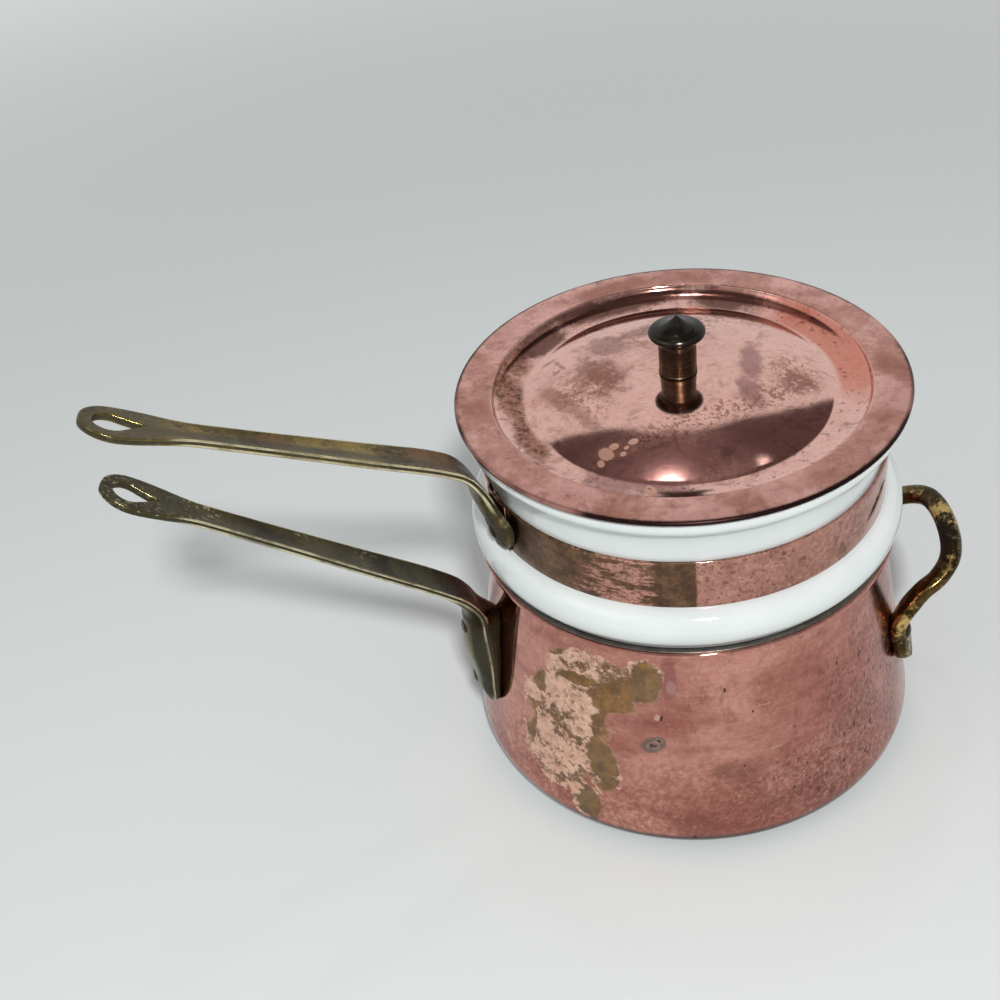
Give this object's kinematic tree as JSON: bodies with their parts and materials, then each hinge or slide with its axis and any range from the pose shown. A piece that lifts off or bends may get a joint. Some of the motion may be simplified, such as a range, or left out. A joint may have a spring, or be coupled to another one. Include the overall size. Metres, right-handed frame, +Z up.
{
  "type": "double boiler",
  "caption": "Flared copper pot with a long brass handle and a helper handle, a white porcelain insert with its own brass handle, and a copper lid with a turned knob.",
  "frame": {"origin": "centre of the pot's flat underside, on the surface it stands on", "axes": "+Z up along the pot's axis; the pot's long handle points along -X, the camera side is -Y"},
  "size_m": [0.3015, 0.174, 0.2145],
  "materials": {
    "copper": "worn polish with brown patina",
    "patinated_copper": "brushed, half covered by brown patina",
    "cast_brass": "cast brass, olive patina with bright arrises",
    "rivet_brass": "hammered heads, dark patina",
    "dark_brass": "turned, dark brown patina",
    "tin": "wiped tin, satin",
    "porcelain": "white gloss glaze"
  },
  "bodies": {
    "pot": {"pot_body": "copper", "pot_tin_lining": "tin", "pot_handle": "cast_brass", "helper_handle": "cast_brass", "pot_handle_rivet_lower": "rivet_brass", "pot_handle_rivet_upper": "rivet_brass", "helper_rivet_rear": "rivet_brass", "helper_rivet_front": "rivet_brass"},
    "insert": {"porcelain_insert": "porcelain", "copper_band": "patinated_copper", "insert_handle": "cast_brass", "insert_handle_rivet": "rivet_brass"},
    "lid": {"lid_shell": "copper", "lid_tin_lining": "tin", "lid_knob": "dark_brass", "knob_washer": "copper"}
  },
  "joints": [
    {"name": "insert_lift", "type": "slide", "parent": "pot", "child": "insert", "axis": [0, 0, 1], "range_m": [0, 0.12]},
    {"name": "lid_lift", "type": "slide", "parent": "insert", "child": "lid", "axis": [0, 0, 1], "range_m": [0, 0.06]}
  ]
}
